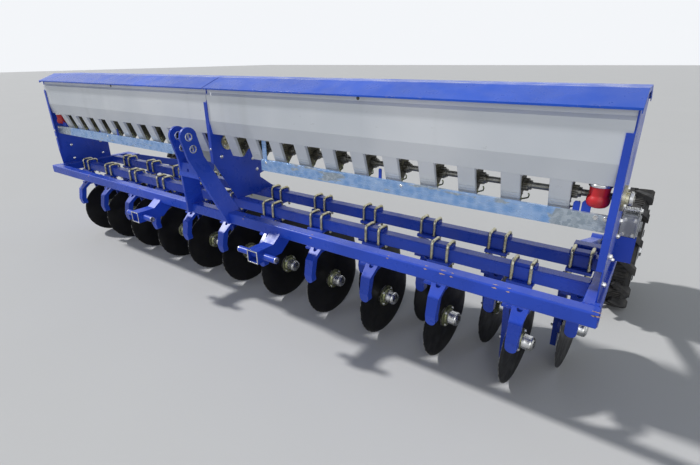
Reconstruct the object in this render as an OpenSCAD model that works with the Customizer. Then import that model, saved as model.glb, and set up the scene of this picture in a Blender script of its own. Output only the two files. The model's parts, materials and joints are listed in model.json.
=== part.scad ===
// Mounted grain drill with twenty-two single-disc rows, two seed boxes and
// lugged drive wheels. Millimetres. X runs across the machine, the hitch is
// at -Y, and the discs and wheels stand on Z = 0.
// Places called ..._y are measured back from the face of the front beam.

/* [Rows] */
// Distance between neighbouring seed rows
row_pitch = 150; // [120:5:180]
// How much closer the metering units stand than the rows
meter_tighter = 10; // [0:1:20]
// From the machine's middle to the first metering unit on each side
meter_first = 113; // [90:1:130]

/* [Frame] */
// Width of the square frame tube
tube = 50; // [40:1:60]
// Outer corner radius of the frame tube
tube_r = 6; // [3:0.5:9]
// Height of the frame's top face above the ground
frame_top = 530; // [500:5:600]
// How far the frame reaches past half a row outside the last row
frame_side = 30; // [20:1:60]
// Front face of the front toolbar
toolbar_front_y = 180; // [160:1:220]
// Front face of the rear toolbar
toolbar_rear_y = 392; // [370:1:440]
// How far the end beams run on behind the rear toolbar
beam_tail = 60; // [20:1:120]

/* [Hitch] */
// Distance from the machine's middle to each lower bracket
bracket_x = 438; // [400:1:480]
// How far the brackets reach in front of the beam
bracket_reach = 140; // [120:1:200]
// Outside width of the bracket tube
bracket_w = 60; // [50:1:70]
// Outside height of the bracket tube
bracket_h = 56; // [48:1:60]
// Wall of the bracket tube
bracket_wall = 5; // [3:0.5:8]
// Diameter of the lower hitch pins
pin_d = 28; // [22:0.5:36]
// Free length of a pin on each side of its bracket
pin_free = 80; // [60:1:110]
// Height of the upper link hole
link_z = 885; // [850:5:950]
// Diameter of the upper link holes
link_d = 25.5; // [19:0.5:32]
// Distance from the middle to each mast plate at the top
mast_top_x = 37; // [30:1:60]
// Distance from the middle to each mast plate at the foot
mast_foot_x = 150; // [120:1:180]
// Width of a mast plate
mast_w = 84; // [70:1:100]
// Thickness of a mast plate
mast_t = 12; // [8:1:16]

/* [Seed boxes] */
// Thickness of the end plates and the middle plate
plate_t = 4; // [3:0.5:6]
// Width of the plates' front flanges
flange_w = 20; // [14:1:26]
// Front edge of the plates
plate_y = 60; // [54:1:80]
// Depth of the plates from front to rear
plate_depth = 340; // [320:1:380]
// Sheet of the seed boxes
sheet = 3; // [2:0.5:4]
// Height where the box front turns in
box_turn_z = 935; // [915:1:950]
// Height of the box floor
box_floor_z = 873; // [860:1:885]
// Height of the box rim
box_rim_z = 1078; // [1060:1:1090]
// How far the lid's flat top stands above the box rim
lid_rise = 42; // [34:1:56]
// How far the lid's front and rear edges hang below the box rim
lid_drop = 4; // [0:1:8]
// How far the lid reaches past the plates in front and behind
lid_over = 12; // [6:1:20]
// Sheet of the lids
lid_t = 2.5; // [2:0.5:4]

/* [Metering] */
// Height of the metering shaft
shaft_z = 826; // [815:1:840]
// Place of the metering shaft
shaft_y = 153; // [145:1:160]
// Diameter of the metering shaft
shaft_d = 20; // [16:1:26]
// Diameter of the bearing flanges on the plates
bearing_d = 74; // [60:1:90]
// Width of a metering chute
chute_w = 58; // [50:1:64]
// Height of the chutes' lower rims
chute_z = 775; // [765:1:785]
// Width of a metering housing
meter_w = 50; // [44:1:56]
// Wall of a metering housing
meter_wall = 4; // [3:0.5:6]
// Diameter of a fluted metering roller
roller_d = 40; // [34:1:44]
// Number of flutes on a metering roller
flutes = 10; // [8:1:12]
// Diameter of a flute
flute_d = 9; // [6:0.5:9]
// How far a roller stands out of its housing
roller_out = 16; // [6:1:24]
// Height of the top of the galvanised trays
tray_z = 787; // [775:1:795]
// Height of the trays' front face
tray_h = 49; // [44:1:64]

/* [Openers] */
// Diameter of a seed disc
disc_d = 360; // [320:1:380]
// Thickness of a seed disc
disc_t = 4; // [3:0.5:6]
// Angle of the discs to the direction of travel
disc_toe = 5; // [0:0.5:7]
// Distance of the disc's centre behind its toolbar's front face
disc_back = 105; // [95:1:125]
// Diameter of the disc spindle
spindle_d = 26; // [20:1:30]
// Width of an opener's front shield
shield_w = 57; // [50:1:64]
// Rod of the U-bolts
ubolt_d = 12; // [8:1:14]
// Inner bend radius of the U-bolts
ubolt_bend = 8; // [6:1:12]
// Distance between an opener's two U-bolts
ubolt_gap = 62; // [58:1:72]

/* [Wheels] */
// Diameter of the drive wheels over the lugs
wheel_d = 600; // [560:5:640]
// Width of the drive wheels
wheel_w = 150; // [120:1:170]
// Place of the wheel axle
wheel_y = 1180; // [1120:5:1240]
// Height of the tyre lugs
lug_h = 20; // [12:1:26]
// How far the lugs' ends stand out past the tyre's body on each side
lug_out = 18; // [8:1:24]
// Number of lugs on each side of a tyre
lugs = 14; // [12:1:20]
// Width of a lug
lug_w = 24; // [18:1:30]
// Diameter of the wheel rim
rim_d = 380; // [340:5:400]
// Diameter of the wheel axle
axle_d = 35; // [28:1:42]
// Diameter of the wheel hub
hub_d = 90; // [70:1:110]

/* [Hidden] */
$fn = 48;
half_rows = 11;
blue = [0.10, 0.17, 0.68];
white = [0.84, 0.86, 0.88];
zinc = [0.74, 0.76, 0.74];
galvanised = [0.70, 0.76, 0.82];
black = [0.09, 0.09, 0.10];
red = [0.72, 0.10, 0.12];
olive = [0.36, 0.35, 0.25];
grey = [0.58, 0.60, 0.62];
frame_half = half_rows * row_pitch + frame_side;
frame_low = frame_top - tube;
run_fit = 0.05;
lay_gap = 0.3;
beam_end_y = toolbar_rear_y + tube + beam_tail;
meter_pitch = row_pitch - meter_tighter;
beam_y = (bracket_reach - wheel_y - wheel_d / 2) / 2;
end_web = frame_half - 18;
plate_rear = plate_y + plate_depth;
lid_top_z = box_rim_z + lid_rise;
lid_edge_z = box_rim_z - lid_drop;
// The box front stands behind the plates' flanges, and leans back near its rim
box_y = plate_y + plate_t;
box_lean = 8;
box_lean_z = box_rim_z - 30;
box_back_z = box_rim_z - 68;
rail_z = box_back_z + sheet;
// Where the plates' front edge steps back below the lid, and where their flanges begin
plate_step = 8;
plate_step_z = box_rim_z - 61;
flange_z = frame_top + 100;
disc_z = disc_d / 2;
front_x = [for (i = [0 : half_rows - 1]) (half_rows - 1.5 - 2 * i) * row_pitch];
rear_x = [for (i = [0 : half_rows - 1]) (half_rows - 0.5 - 2 * i) * row_pitch];
// Leg and boot of an opener, across from the disc
leg_x = -42;
leg_t = 12;
ubolt_clear = 0.5;
ubolt_y = [-ubolt_d / 2 - 1, tube + ubolt_d / 2 + 1];
saddle_t = 12;
hinge_y = plate_rear + lid_over + 8;
hinge_z = lid_edge_z - 2;
hinge_d = 14;
hinge_pin_d = 8;
hinge_at = [0.12, 0.5, 0.88];
hinge_len = 60;
// Side view of the mast: upper link hole, bend, and foot on the beam
mast_top_y = -85;
mast_bend_z = 785;
mast_bend_y = -60;
mast_foot_y = 8;
mast_foot_z = frame_low + 4;
link_step = 55;
// Lower hitch pins in their brackets
pin_y = -110;
bracket_top = frame_top - 65;
pin_z = bracket_top - bracket_h / 2;
// Break lines in the lid's top, and how high its lower edges are turned
lid_ridge_y = [plate_y + 90, plate_rear - 90];
lid_lip = 6;
lid_apart = 6;
floor_y = [77, 182];
tray_y = 84;
tray_x = 300;
chute_y = 112;
apron_t = 3;
// Side view of a metering housing behind its chute: outlet, heel and rear wall
meter_out = 20;
meter_heel = [158, 800];
meter_rear = 179;
meter_seat = 5;
roller_fit = 0.5;
// Drive box behind the right end plate, on a plate that stands on the end beam
drive_y = plate_rear + 20;
drive_z = [622, 690];
drive_x = end_web + plate_t + 2;
drive_w = 54;
drive_deep = 66;
// Where the middle plate's rear edge steps forward, and its foot on the rear toolbar
mid_step = [348, 640];
mid_front_z = 740;
foot_x = -34;
foot_w = 62;
foot_t = 8;
wheel_x = frame_half - 5;
wheel_z = wheel_d / 2;
arm_x = wheel_x - wheel_w / 2 - 20 - tube;
boot_w = 22;
boot_wall = 3;
boot_x = leg_x - boot_w;
boot_y = 85;
boot_top = 410;
// Side view of an opener's front shield, from its notched top over the fold to its tip
shield_line = [[-41, 400], [-90, 359], [-105, 290], [-97, 247]];
shield_x = 22;
shield_t = 5;
shield_deep = 30;
shield_tip = 40;
shield_tip_z = 269;
// Cross plate that carries the shield on the leg, above the disc
cross_z = 384;
cross_t = 10;
spindle_end = 50;
// Sharpened edge of a disc
disc_bevel = 12;
disc_edge = 0.8;

module placed()
{
  translate([0, beam_y, 0])
    children();
}

// Extrudes a side view, drawn as [y, z], over a width w from x
module side(x, w)
{
  translate([x, 0, 0])
    rotate([90, 0, 90])
      linear_extrude(w)
        children();
}

// Section of the frame tube with its lower left corner at the origin
module tube_section()
{
  translate([tube_r, 0])
    square([tube - 2 * tube_r, tube]);
  translate([0, tube_r])
    square([tube, tube - 2 * tube_r]);
  for (a = [tube_r, tube - tube_r])
    for (b = [tube_r, tube - tube_r])
      translate([a, b])
        circle(tube_r);
}

module tube_x(x0, x1, y)
{
  side(x0, x1 - x0)
    translate([y, frame_low])
      tube_section();
}

module tube_y(x, y0, y1)
{
  front(y0, y1)
    translate([x, frame_low])
      tube_section();
}

module front_beam()
{
  color(blue)
    placed()
      tube_x(-frame_half, frame_half, 0);
}

module end_beam(s)
{
  color(blue)
    placed()
    {
      tube_y(s > 0 ? frame_half - tube : -frame_half, tube, beam_end_y);
      if (s > 0)
        drive_plate();
    }
}

// Upright plate behind the right end plate that carries the drive box
module drive_plate()
{
  translate([frame_half - tube, drive_y, frame_top])
    cube([drive_x + drive_w - frame_half + tube, drive_deep, foot_t]);
  front(drive_y - plate_t, drive_y)
    polygon([[frame_half - tube, frame_top], [drive_x + drive_w, frame_top], [drive_x + drive_w, drive_z[0]],
      [drive_x - 4, drive_z[0]], [frame_half - tube, frame_top + 30]]);
  translate([drive_x, drive_y, frame_top + foot_t])
    cube([plate_t, drive_deep, drive_z[0] - frame_top - foot_t]);
  translate([drive_x, drive_y, drive_z[0] - plate_t])
    cube([drive_w, drive_deep, plate_t]);
}

// Drive box with a flanged cover, its input boss and the boss towards the metering shaft
module drive_box()
{
  h = drive_z[1] - drive_z[0];
  color(grey)
    placed()
      translate([drive_x, drive_y, drive_z[0]])
      {
        cube([drive_w - 10, drive_deep, h]);
        translate([drive_w - 10, -3, 0])
          cube([5, drive_deep + 6, h + 3]);
        translate([drive_w - 5, 4, 4])
          cube([5, drive_deep - 8, h - 8]);
        translate([drive_w - 2, drive_deep / 2, h / 2])
          rotate([0, 90, 0])
            cylinder(d = 34, h = 8);
        for (y = [6, drive_deep - 18])
          translate([4, y, h])
            cube([drive_w - 16, 12, 8]);
      }
}

module toolbar(y)
{
  color(blue)
    placed()
      tube_x(-frame_half + tube, frame_half - tube, y);
}

// One mast plate stands upright round the link holes and spreads below its bend
module mast_plate(s)
{
  w = mast_w / 2;
  lean = atan2(mast_foot_x - mast_top_x, mast_bend_z - mast_foot_z);
  fall = (mast_bend_z - mast_foot_z) / cos(lean);
  beam_rise = fall - (frame_top - mast_foot_z) / cos(lean);
  difference()
  {
    union()
    {
      side(s * mast_top_x - mast_t / 2, mast_t)
        union()
        {
          polygon([[mast_bend_y - w, mast_bend_z - 2], [mast_bend_y + w, mast_bend_z - 2], [mast_top_y + w, link_z],
            [mast_top_y - w, link_z]]);
          translate([mast_top_y, link_z])
            circle(d = mast_w);
        }
      translate([s * mast_top_x, 0, mast_bend_z])
        rotate([0, -s * lean, 0])
          side(-mast_t / 2, mast_t)
            polygon([[mast_bend_y - w, 2], [mast_bend_y + w, 2], [mast_foot_y + w + 20, -beam_rise - 10],
              [0, -fall - 10], [-14, -fall - 10], [mast_foot_y - w + 6, -beam_rise]]);
    }
    translate([-2 * mast_foot_x, 0, 0])
      cube([4 * mast_foot_x, 2 * tube, frame_top]);
    translate([-2 * mast_foot_x, -tube, 0])
      cube([4 * mast_foot_x, 2 * tube, mast_foot_z]);
    for (dz = [0, -link_step])
      translate([-100, mast_top_y - dz * (mast_bend_y - mast_top_y) / (link_z - mast_bend_z), link_z + dz])
        rotate([0, 90, 0])
          cylinder(d = link_d, h = 200);
  }
}

module mast()
{
  tie_z = 700;
  tie_h = 66;
  tie_t = 8;
  color(blue)
    placed()
    {
      for (s = [-1, 1])
        mast_plate(s);
      difference()
      {
        front(mast_bend_y - 24, mast_bend_y - 24 + tie_t)
          polygon([[-mast_top_x - 38, tie_z], [mast_top_x + 38, tie_z], [mast_top_x + 6, tie_z + tie_h],
            [-mast_top_x - 6, tie_z + tie_h]]);
        translate([0, mast_bend_y - 30, tie_z + tie_h / 2])
          rotate([-90, 0, 0])
            cylinder(d = 16, h = 20);
      }
    }
}

module hitch_bracket(s)
{
  low = bracket_top - bracket_h;
  color(blue)
    placed()
      translate([s * bracket_x, 0, 0])
      {
        difference()
        {
          side(-bracket_w / 2, bracket_w)
            polygon([[-bracket_reach, low], [-bracket_reach, bracket_top], [-45, bracket_top],
              [0, frame_low + 18], [0, frame_low], [tube + 40, frame_low], [0, low]]);
          side(-bracket_w / 2 + bracket_wall, bracket_w - 2 * bracket_wall)
            polygon([[-bracket_reach - 1, low + bracket_wall], [-bracket_reach - 1, bracket_top - bracket_wall],
              [-20, bracket_top - bracket_wall], [-20, low + bracket_wall]]);
        }
        translate([-bracket_w / 2 - pin_free, pin_y, pin_z])
          rotate([0, 90, 0])
            cylinder(d = pin_d, h = bracket_w + 2 * pin_free);
      }
}

// Underside of the lid's sloping parts, a share u of the way down from the ridge
function lid_under(u) = lid_top_z - lid_t - (lid_top_z - lid_edge_z - lid_lip) * u;

// Side view of a plate: upright edges, and a top that carries the lid
module plate_view()
{
  near = 90 / (90 + lid_over - lid_t);
  top = lid_under(0) - lay_gap;
  polygon([[plate_y + 6, frame_top], [plate_y, flange_z], [plate_y, plate_step_z],
    [plate_y + plate_step, plate_step_z + 13],
    [plate_y + plate_step, lid_under(near * (90 - plate_step) / 90) - lay_gap],
    [lid_ridge_y[0], top], [lid_ridge_y[1], top],
    [plate_rear, lid_under(near) - lay_gap], [plate_rear, frame_top]]);
}

// flange is -1 or 1: the way that the front flange points
module plate(x, flange)
{
  difference()
  {
    union()
    {
      side(x, plate_t)
        plate_view();
      translate([flange < 0 ? x - flange_w + plate_t : x, plate_y, flange_z])
        cube([flange_w, plate_t, plate_step_z - flange_z]);
    }
    translate([x - 1, shaft_y, shaft_z])
      rotate([0, 90, 0])
        cylinder(d = bearing_d / 2, h = plate_t + 2);
  }
}

module end_plate(s)
{
  color(blue)
    placed()
      plate(s > 0 ? end_web : -end_web - plate_t, -s);
}

module mid_plate()
{
  color(blue)
    placed()
      difference()
      {
        plate(-plate_t / 2, -1);
        side(-30, 60)
          polygon([[0, 0], [0, mid_front_z], [plate_y - 1, mid_front_z], [toolbar_front_y, frame_top],
            [toolbar_front_y, 0]]);
        side(-30, 60)
          polygon([[mid_step[0], 0], [mid_step[0], mid_step[1] - 12], [plate_rear + 1, mid_step[1]],
            [plate_rear + 1, 0]]);
      }
  color(blue)
    placed()
      mid_foot();
}

// Foot on the rear toolbar with a gusset up to the middle plate
module mid_foot()
{
  translate([foot_x, toolbar_rear_y + 1, frame_top])
    cube([foot_w, tube + 12, foot_t]);
  side(-plate_t / 2, plate_t)
    polygon([[mid_step[0] - 20, frame_top + foot_t], [toolbar_rear_y + tube, frame_top + foot_t],
      [mid_step[0], frame_top + 80], [mid_step[0] - 20, frame_top + 80]]);
}

// Front, floor and rear lines of a seed box, moved in by a distance d
function box_front(d) = [[box_y + box_lean + d, box_lean_z + 10], [box_y + d, box_lean_z],
  [box_y + d, box_turn_z], [floor_y[0] + d, box_floor_z + d]];
function box_back(d) = [[floor_y[1] - d, box_floor_z + d], [plate_rear - 2 - d, box_back_z + d]];

module box(s)
{
  x = s > 0 ? plate_t / 2 : -end_web;
  len = end_web - plate_t / 2;
  color(white)
    placed()
      difference()
      {
        side(x, len)
          polygon(concat([[box_y + box_lean, box_rim_z]], box_front(0), box_back(0), [[plate_rear - 2, box_rim_z]]));
        side(x - 1, len + 2)
          polygon(concat([[box_y + box_lean + sheet, box_rim_z + 1]], box_front(sheet), box_back(sheet),
            [[plate_rear - 2 - sheet, box_rim_z + 1]]));
        translate([x - 1, plate_rear - 3 - sheet, rail_z])
          cube([len + 2, sheet + 2, box_rim_z]);
        for (k = [0 : half_rows - 1])
          translate([s * (meter_first + k * meter_pitch) - 18, floor_y[0] + 14, box_floor_z - 1])
            cube([36, 50, sheet + 2]);
      }
}

// Knuckles of the lid hinges: the lid's at the middle, the box's beside them
module lid_knuckles(s)
{
  for (u = hinge_at)
    translate([s * u * end_web - hinge_len / 2, hinge_y, hinge_z])
      difference()
      {
        union()
        {
          rotate([0, 90, 0])
            cylinder(d = hinge_d, h = hinge_len);
          translate([0, -9, 0])
            cube([hinge_len, 9, 7]);
        }
        translate([-1, 0, 0])
          rotate([0, 90, 0])
            cylinder(d = hinge_pin_d + 2 * run_fit, h = hinge_len + 2);
      }
}

module box_knuckles(s)
{
  for (u = hinge_at)
    translate([s * u * end_web, hinge_y, hinge_z])
    {
      rotate([0, 90, 0])
        translate([0, 0, -hinge_len / 2 - 24])
          cylinder(d = hinge_pin_d, h = hinge_len + 48);
      for (e = [-1, 1])
        translate([e * (hinge_len / 2 + 13) - 11, 0, 0])
        {
          rotate([0, 90, 0])
            cylinder(d = hinge_d, h = 22);
          translate([0, plate_rear - 2 - hinge_y, -12])
            cube([22, hinge_y - plate_rear + 2, 8]);
        }
    }
}

// Upright rail on the box's rear sheet, which carries the hinges
module box_rail(s)
{
  color(white)
    placed()
    {
      translate([s > 0 ? plate_t / 2 : -end_web, plate_rear - 2 - sheet, rail_z])
        cube([end_web - plate_t / 2, sheet, box_rim_z - rail_z]);
      box_knuckles(s);
    }
}

module lid(s)
{
  x1 = frame_half - 8;
  x = s > 0 ? lid_apart / 2 : -x1;
  fy = plate_y - lid_over;
  ry = plate_rear + lid_over;
  lip_z = lid_edge_z + lid_lip;
  color(blue)
    placed()
    {
      side(x, x1 - lid_apart / 2)
        polygon([[fy, lid_edge_z], [fy, lip_z], [lid_ridge_y[0], lid_top_z], [lid_ridge_y[1], lid_top_z],
          [ry, lip_z], [ry, lid_edge_z], [ry - lid_t, lid_edge_z], [ry - lid_t, lip_z - lid_t],
          [lid_ridge_y[1], lid_top_z - lid_t], [lid_ridge_y[0], lid_top_z - lid_t], [fy + lid_t, lip_z - lid_t],
          [fy + lid_t, lid_edge_z]]);
      lid_knuckles(s);
    }
}

// Front sheet of a chute, a distance d behind its face: from the box floor down to the outlet
function apron(d) = [[floor_y[0] + 1 + d, box_floor_z], [chute_y + d, chute_z]];

module at_meters(s)
{
  for (k = [0 : half_rows - 1])
    translate([s * (meter_first + k * meter_pitch), 0, 0])
      children();
}

// Chutes: a sloping front sheet with two side lips and a ribbed outlet
module chutes(s)
{
  ribs = 3;
  color(white)
    placed()
      at_meters(s)
      {
        side(-chute_w / 2, chute_w)
          polygon([apron(0)[0], apron(0)[1], apron(apron_t)[1], apron(apron_t)[0]]);
        for (x = [-chute_w / 2, chute_w / 2 - 2])
          side(x, 2)
            polygon([apron(apron_t)[0], apron(apron_t)[1], apron(apron_t + 8)[1], apron(apron_t + 12)[0]]);
        for (r = [0 : ribs - 1])
          side(3 - chute_w / 2, chute_w - 6)
            translate([chute_y - 2 - r * 2.8, chute_z + r * 8])
              square([4, 3.5]);
      }
}

// Side view of a metering housing: a hopper neck that rounds off under its roller
module meter_view()
{
  polygon([apron(apron_t)[0], apron(apron_t)[1], apron(apron_t + meter_out)[1], meter_heel,
    [meter_rear, shaft_z], [meter_rear, box_floor_z]]);
  translate([shaft_y, shaft_z])
    circle(r = meter_rear - shaft_y);
}

// Metering housings: open above to the box, below to the chute, and on one side for the roller
module meters(s)
{
  w = meter_w - 2 * meter_wall;
  seat_y = apron(apron_t)[0][0];
  bore = roller_d + 2 * roller_fit;
  color(olive)
    placed()
      at_meters(s)
        difference()
        {
          union()
          {
            side(-meter_w / 2, meter_w)
              meter_view();
            translate([-meter_w / 2 - 8, seat_y + 16, box_floor_z - meter_seat])
              cube([meter_w + 16, meter_rear - seat_y - 13, meter_seat]);
          }
          translate([meter_wall - meter_w / 2, shaft_y, shaft_z])
            rotate([0, 90, 0])
              cylinder(d = bore, h = meter_w);
          side(-w / 2, w)
            polygon([[seat_y + 14, box_floor_z + 1], [shaft_y - bore / 2 + 1, shaft_z], [shaft_y, shaft_z],
              [seat_y + 60, box_floor_z + 1]]);
          side(-w / 2, w)
            polygon([apron(apron_t + 4)[1] + [0, -1], apron(apron_t + meter_out - 4)[1] + [0, -1],
              [shaft_y, shaft_z], [shaft_y - 14, shaft_z]]);
          translate([-meter_w, shaft_y, shaft_z])
            rotate([0, 90, 0])
              cylinder(d = shaft_d + 6, h = meter_w);
        }
}

module roller()
{
  rotate([0, 90, 0])
    linear_extrude(meter_w - meter_wall - 1 + roller_out)
      difference()
      {
        circle(d = roller_d);
        for (i = [0 : flutes - 1])
          rotate(i * 360 / flutes)
            translate([roller_d / 2, 0])
              circle(d = flute_d);
      }
}

module metering_shaft()
{
  end = end_web + plate_t + 30;
  from = meter_wall - meter_w / 2 + 1;
  color(zinc)
    placed()
    {
      translate([-end, shaft_y, shaft_z])
        rotate([0, 90, 0])
          cylinder(d = shaft_d, h = 2 * end);
      for (s = [-1, 1])
        at_meters(s)
          translate([from, shaft_y, shaft_z])
          {
            roller();
            translate([meter_w - meter_wall - 2 + roller_out, 0, 0])
              rotate([0, 90, 0])
                cylinder(d = shaft_d + 10, h = 9);
          }
    }
}

module bearing()
{
  rotate([0, 90, 0])
    difference()
    {
      union()
      {
        translate([0, 0, plate_t])
          cylinder(d = bearing_d, h = 8);
        cylinder(d = bearing_d / 2 - 2 * run_fit, h = plate_t + 16);
      }
      translate([0, 0, -1])
        cylinder(d = shaft_d + 2 * run_fit, h = plate_t + 20);
    }
}

module shaft_bearings()
{
  color(zinc)
    placed()
    {
      translate([end_web, shaft_y, shaft_z])
        bearing();
      translate([-plate_t / 2, shaft_y, shaft_z])
        bearing();
      translate([-end_web, shaft_y, shaft_z])
        mirror([1, 0, 0])
          bearing();
    }
}

module tray(s)
{
  len = end_web - tray_x;
  low = tray_z - tray_h;
  color(galvanised)
    placed()
    {
      side(s > 0 ? tray_x : -tray_x - len, len)
        polygon([[tray_y, low], [tray_y, tray_z], [tray_y + 12, tray_z], [tray_y + 12, tray_z - 2],
          [tray_y + 2, tray_z - 2], [tray_y + 2, low + 2], [tray_y + 22, low + 2], [tray_y + 22, low + 12],
          [tray_y + 24, low + 12], [tray_y + 24, low]]);
      translate([s * (meter_first + 1.5 * meter_pitch) - 12, tray_y + 2, low + 20])
        cube([24, 3, box_floor_z - low - 20]);
    }
}

// Cup under the box floor at each end, with a flanged top and a bulged lower rim
module end_cups()
{
  cup_h = 72;
  top_r = 25;
  rim_r = 31;
  color(red)
    placed()
      for (s = [-1, 1])
        translate([s * (end_web - 50), floor_y[0] + 27, box_floor_z - cup_h])
          rotate_extrude()
            polygon([[0, 0], [rim_r - 5, 0], [rim_r, 4], [rim_r, 13], [rim_r - 4, 19], [top_r, cup_h - 4],
              [rim_r, cup_h - 4], [rim_r, cup_h], [0, cup_h]]);
}

// Extrudes a front view, drawn as [x, z], from y0 to y1
module front(y0, y1)
{
  translate([0, y1, 0])
    rotate([90, 0, 0])
      linear_extrude(y1 - y0)
        children();
}

// Outline of the shield from the front, drawn in by a distance d at its edges
module shield_front(d)
{
  polygon([[-shield_w / 2 + d, shield_line[0][1] + d], [shield_w / 2 - d, shield_line[0][1] + d],
    [shield_tip / 2 + 2 - d, shield_line[1][1]], [shield_tip / 2 - d, shield_tip_z],
    [d - shield_tip / 2, shield_tip_z], [d - 2 - shield_tip / 2, shield_line[1][1]]]);
  translate([0, shield_tip_z])
    circle(d = shield_tip - 2 * d);
}

module shield()
{
  back = [for (i = [len(shield_line) - 1 : -1 : 0]) shield_line[i] + [shield_deep, 0]];
  difference()
  {
    intersection()
    {
      side(-shield_w, 2 * shield_w)
        polygon(concat(shield_line, back));
      front(-300, 100)
        shield_front(0);
    }
    intersection()
    {
      side(-shield_w, 2 * shield_w)
        polygon(concat([[shield_line[0][0] + shield_t + 8, shield_line[0][1] + 10]],
          [for (p = shield_line) p + [shield_t, 0]], [for (p = back) p + [5, 0]],
          [[shield_line[0][0] + shield_deep + 15, shield_line[0][1] + 10]]));
      front(-300, 100)
        shield_front(shield_t);
    }
    translate([0, -200, shield_line[0][1]])
      rotate([-90, 0, 0])
        cylinder(d = 22, h = 200);
  }
}

// Clamp plates above and below a toolbar, drilled for the U-bolts below
module saddle(ty)
{
  w = ubolt_gap + 24;
  translate([-w / 2, ty + ubolt_bend, frame_top])
    cube([w, tube - 2 * ubolt_bend, saddle_t]);
  difference()
  {
    translate([-w / 2, ty - 20, frame_low - saddle_t])
      cube([w, tube + 40, saddle_t]);
    for (sx = [-1, 1])
      for (y = ubolt_y)
        translate([sx * ubolt_gap / 2, ty + y, frame_low - saddle_t - 1])
          cylinder(d = ubolt_d + 2 * ubolt_clear, h = saddle_t + 2);
  }
}

// Side view of the seed boot, drawn in by a distance d at its front and rear and open at both ends
function boot(ty, cy, d) = [[ty + boot_y - 20 + d, boot_top + d], [ty + boot_y + 20 - d, boot_top + d],
  [cy + 60 - d, 70 - d], [cy + 20 + d, 50 - d]];

module opener(x, ty)
{
  cy = ty + disc_back;
  translate([x, 0, 0])
  {
    saddle(ty);
    side(leg_x, leg_t)
    {
      polygon([[ty + 8, frame_low - saddle_t], [ty + tube - 8, frame_low - saddle_t], [cy + 38, disc_z + 20],
        [cy - 38, disc_z + 20]]);
      translate([cy, disc_z])
        circle(d = 90);
    }
    side(leg_x, shield_x + shield_w / 2 - leg_x)
      polygon([[ty + shield_line[0][0] + 2, cross_z], [ty + tube, cross_z], [ty + tube, cross_z + cross_t],
        [ty + shield_line[0][0] + 2, cross_z + cross_t]]);
    translate([0, cy, disc_z])
      rotate([0, 0, -disc_toe])
        rotate([0, 90, 0])
          translate([0, 0, leg_x + leg_t / 2])
            cylinder(d = spindle_d, h = spindle_end - leg_x - leg_t / 2);
    difference()
    {
      side(boot_x, boot_w)
        polygon(boot(ty, cy, 0));
      side(boot_x + boot_wall, boot_w - 2 * boot_wall)
        polygon(boot(ty, cy, boot_wall));
    }
    translate([shield_x, ty, 0])
      shield();
  }
}

module openers(xs, ty)
{
  color(blue)
    placed()
      for (x = xs)
        opener(x, ty);
}

// A U-bolt over a toolbar: two legs, two bends and a crown, with a nut on each leg
module ubolt(x, ty)
{
  bend = ubolt_bend + ubolt_d / 2;
  top = frame_top + saddle_t + ubolt_d / 2;
  low = frame_low - saddle_t;
  translate([x, ty, 0])
  {
    for (y = ubolt_y)
      translate([0, y, low - 22])
      {
        cylinder(d = ubolt_d, h = top - bend - low + 22, $fn = 24);
        translate([0, 0, 12])
          cylinder(d = 21, h = 10, $fn = 6);
      }
    for (e = [0, 1])
      translate([0, ubolt_y[e] + (1 - 2 * e) * bend, top - bend])
        rotate([90, 0, 90])
          rotate([0, 0, 90 - 90 * e])
            rotate_extrude(angle = 90, $fn = 24)
              translate([bend, 0])
                circle(d = ubolt_d);
    translate([0, ubolt_y[0] + bend, top])
      rotate([-90, 0, 0])
        cylinder(d = ubolt_d, h = ubolt_y[1] - ubolt_y[0] - 2 * bend, $fn = 24);
  }
}

module ubolts(xs, ty)
{
  color(zinc)
    placed()
      for (x = xs)
        for (s = [-1, 1])
          ubolt(x + s * ubolt_gap / 2, ty);
}

module disc(x, ty)
{
  color(black)
    placed()
      translate([x, ty + disc_back, disc_z])
        rotate([0, 0, -disc_toe])
          rotate([0, 90, 0])
            difference()
            {
              rotate_extrude($fn = 96)
                polygon([[0, -disc_t / 2], [disc_d / 2 - disc_bevel, -disc_t / 2], [disc_d / 2, -disc_edge / 2],
                  [disc_d / 2, disc_edge / 2], [disc_d / 2 - disc_bevel, disc_t / 2], [46, disc_t / 2], [46, 8],
                  [27, 8], [27, 58], [0, 58]]);
              translate([0, 0, -10])
                cylinder(d = spindle_d + 2 * run_fit, h = 60.5);
            }
}

module wheel_arm(s)
{
  fall = frame_low + tube / 2 - wheel_z;
  run = wheel_y - beam_end_y - tube / 2;
  color(blue)
    placed()
      mirror([s > 0 ? 0 : 1, 0, 0])
      {
        tube_x(arm_x, frame_half, beam_end_y);
        translate([arm_x, beam_end_y + tube / 2, frame_low + tube / 2])
          rotate([-atan2(fall, run), 0, 0])
            translate([0, norm([fall, run]), -tube / 2])
              rotate([90, 0, 0])
                linear_extrude(norm([fall, run]))
                  tube_section();
        translate([arm_x, wheel_y, wheel_z])
          rotate([0, 90, 0])
          {
            cylinder(d = hub_d, h = tube);
            cylinder(d = axle_d, h = tube + 20 + wheel_w + 6);
          }
      }
}

module on_axle(s)
{
  placed()
    mirror([s > 0 ? 0 : 1, 0, 0])
      translate([wheel_x - wheel_w / 2, wheel_y, wheel_z])
        rotate([0, 90, 0])
          children();
}

module rim(s)
{
  r = rim_d / 2;
  color(zinc)
    on_axle(s)
      difference()
      {
        rotate_extrude()
          polygon([[0, -12], [hub_d / 2, -12], [hub_d / 2, wheel_w * 0.6 - 4], [r - 10, wheel_w * 0.6 - 4],
            [r - 10, 10], [r, 10], [r, wheel_w - 10], [r - 10, wheel_w - 10], [r - 10, wheel_w * 0.6 + 4],
            [hub_d / 2, wheel_w * 0.6 + 4], [hub_d / 2, wheel_w - 4], [0, wheel_w - 4]]);
        translate([0, 0, -20])
          cylinder(d = axle_d + 2 * run_fit, h = wheel_w + 40);
      }
}

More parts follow.
